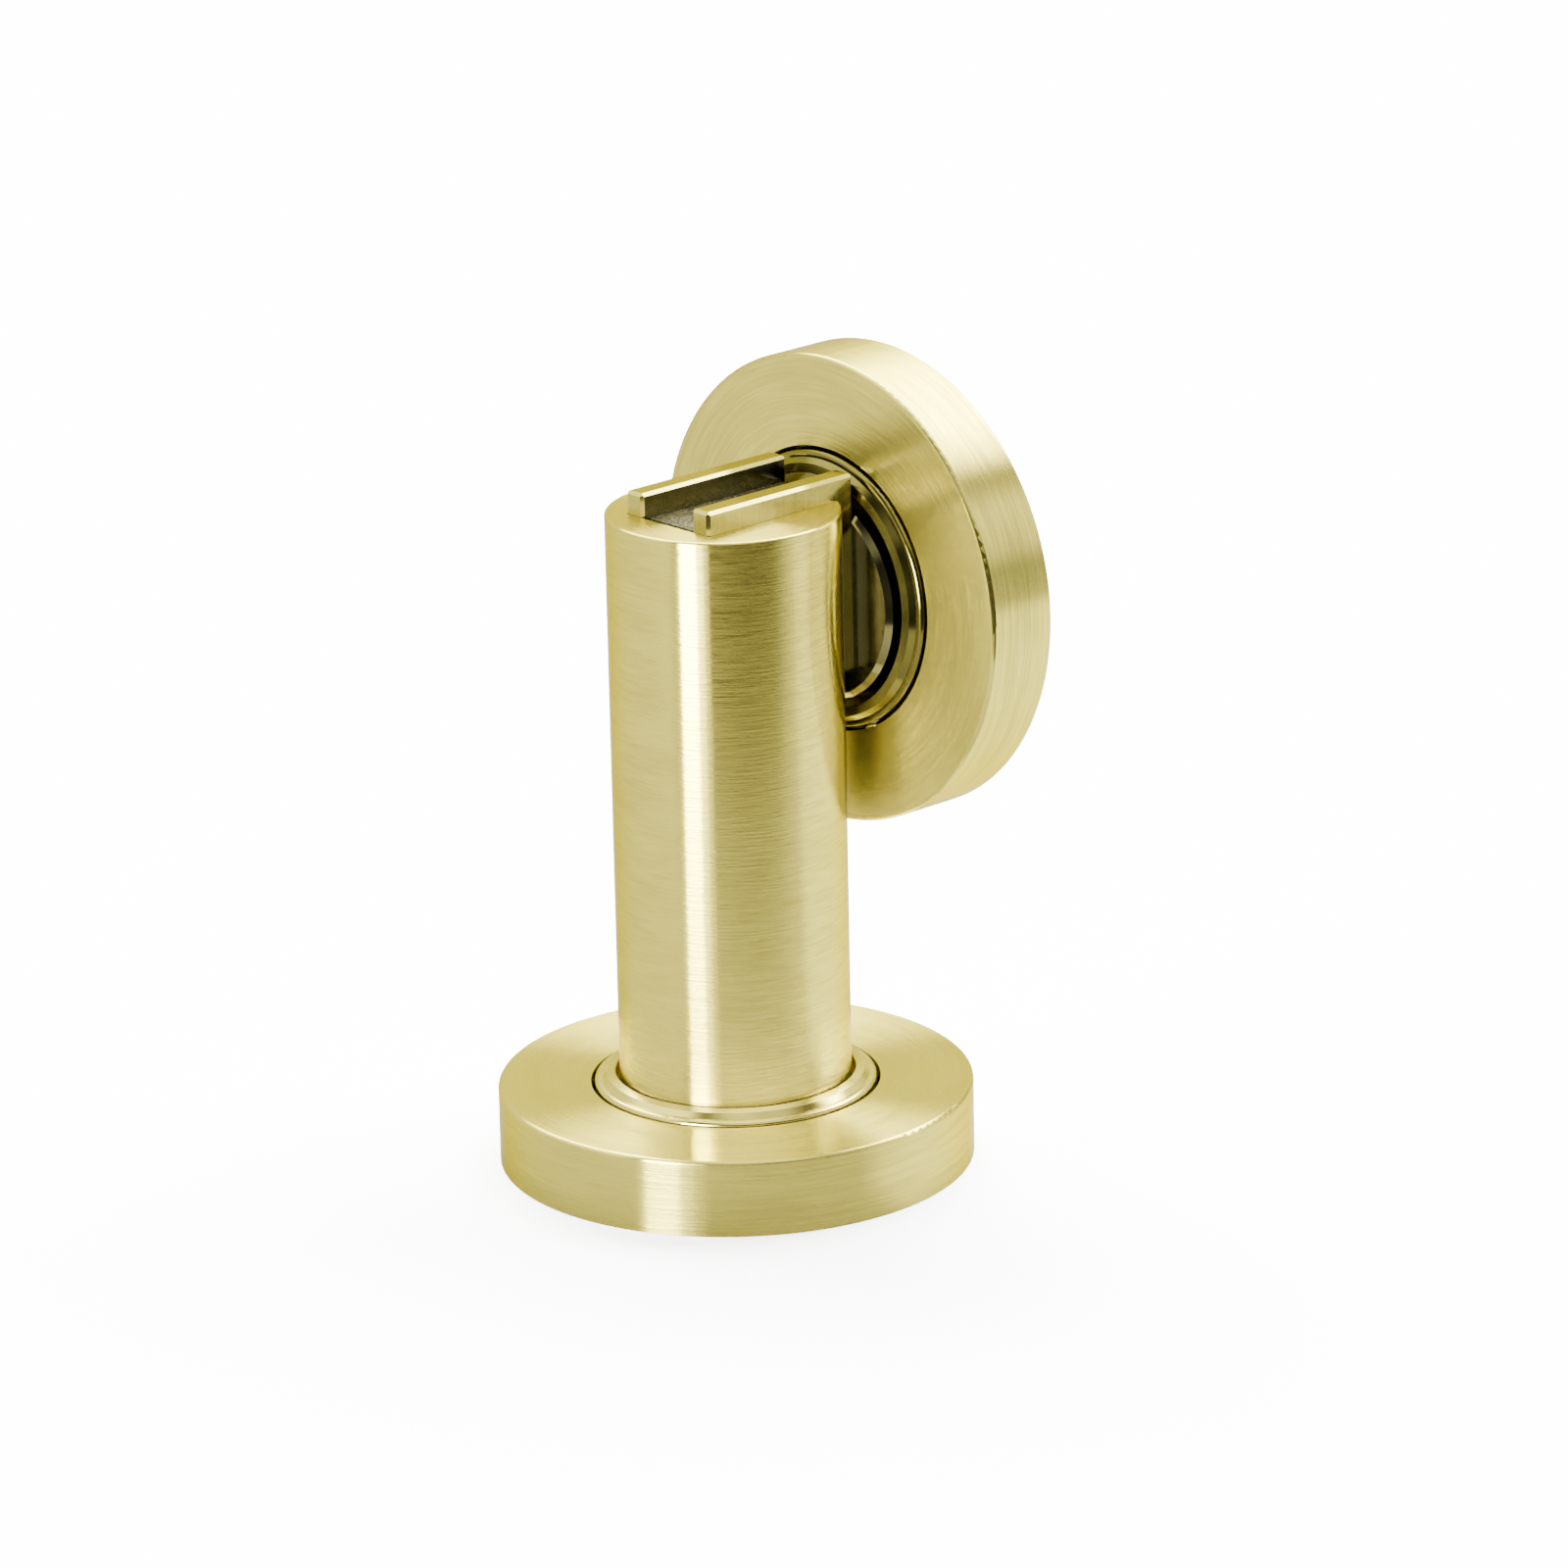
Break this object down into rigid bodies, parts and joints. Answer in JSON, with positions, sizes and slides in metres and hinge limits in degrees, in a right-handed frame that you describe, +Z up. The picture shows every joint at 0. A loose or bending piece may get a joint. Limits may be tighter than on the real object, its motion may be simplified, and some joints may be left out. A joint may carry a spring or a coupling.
{
  "type": "magnetic floor door holder",
  "caption": "Floor post on a round rose with a magnet between pole plates, and a matching round door rose with a floating keeper disc that it holds.",
  "frame": {"origin": "centre of the floor base's fixing holes, on the floor, on the post's axis", "axes": "+Z up along the post's axis, +X from the post towards the door unit, +Y completes the right-handed frame"},
  "size_m": [0.052, 0.052, 0.087],
  "materials": {
    "satin_brass": "satin, fine circular brushing",
    "polished_brass": "polished",
    "plated_steel": "brass plated, fine grinding lines",
    "polished_steel": "brass plated, polished",
    "bright_steel": "bright zinc plated",
    "magnet": "dull, ground",
    "resin": "rough, gold-coloured",
    "rubber": "matt"
  },
  "bodies": {
    "floor_unit": {"floor_base_plate": "polished_brass", "floor_cover_ring": "rubber", "post_body": "satin_brass", "post_foot_plug": "bright_steel", "post_screw": "bright_steel", "post_lock_washer": "bright_steel", "pole_plate_near": "plated_steel", "pole_plate_far": "plated_steel", "magnet_block": "magnet", "magnet_potting": "resin", "magnet_anchor_block": "polished_brass", "pack_rivets": "bright_steel", "anchor_screw": "bright_steel", "anchor_washer": "bright_steel"},
    "floor_rose": {"floor_rose_cover": "satin_brass"},
    "keeper_stud": {"keeper_screw": "bright_steel", "keeper_washer": "bright_steel", "keeper_nut": "bright_steel"},
    "keeper": {"keeper_disc": "polished_steel"},
    "cushion": {"keeper_cushion": "rubber"},
    "door_unit": {"door_base_plate": "polished_brass", "door_cover_ring": "rubber", "door_rose_cover": "satin_brass"}
  },
  "joints": [
    {"name": "door_release", "type": "slide", "parent": "floor_unit", "child": "keeper_stud", "axis": [1, 0, 0], "range_m": [0, 0.05]},
    {"name": "keeper_spin", "type": "hinge", "parent": "keeper_stud", "child": "keeper", "pos_m": [0.01613, 0, 0.06065], "axis": [1, 0, 0], "continuous": true},
    {"name": "keeper_yaw", "type": "hinge", "parent": "keeper_stud", "child": "cushion", "pos_m": [0.01613, 0, 0.06065], "axis": [0, 0, 1], "range_deg": [-1.4, 1.4], "stiffness_Nm_per_rad": 3, "deforming": ["keeper_cushion"]},
    {"name": "keeper_pitch", "type": "hinge", "parent": "cushion", "child": "door_unit", "pos_m": [0.01613, 0, 0.06065], "axis": [0, 1, 0], "range_deg": [-1.4, 1.4], "stiffness_Nm_per_rad": 3, "deforming": ["keeper_cushion"]},
    {"name": "rose_lift", "type": "slide", "parent": "floor_unit", "child": "floor_rose", "axis": [0, 0, 1], "range_m": [0, 0.025]}
  ]
}
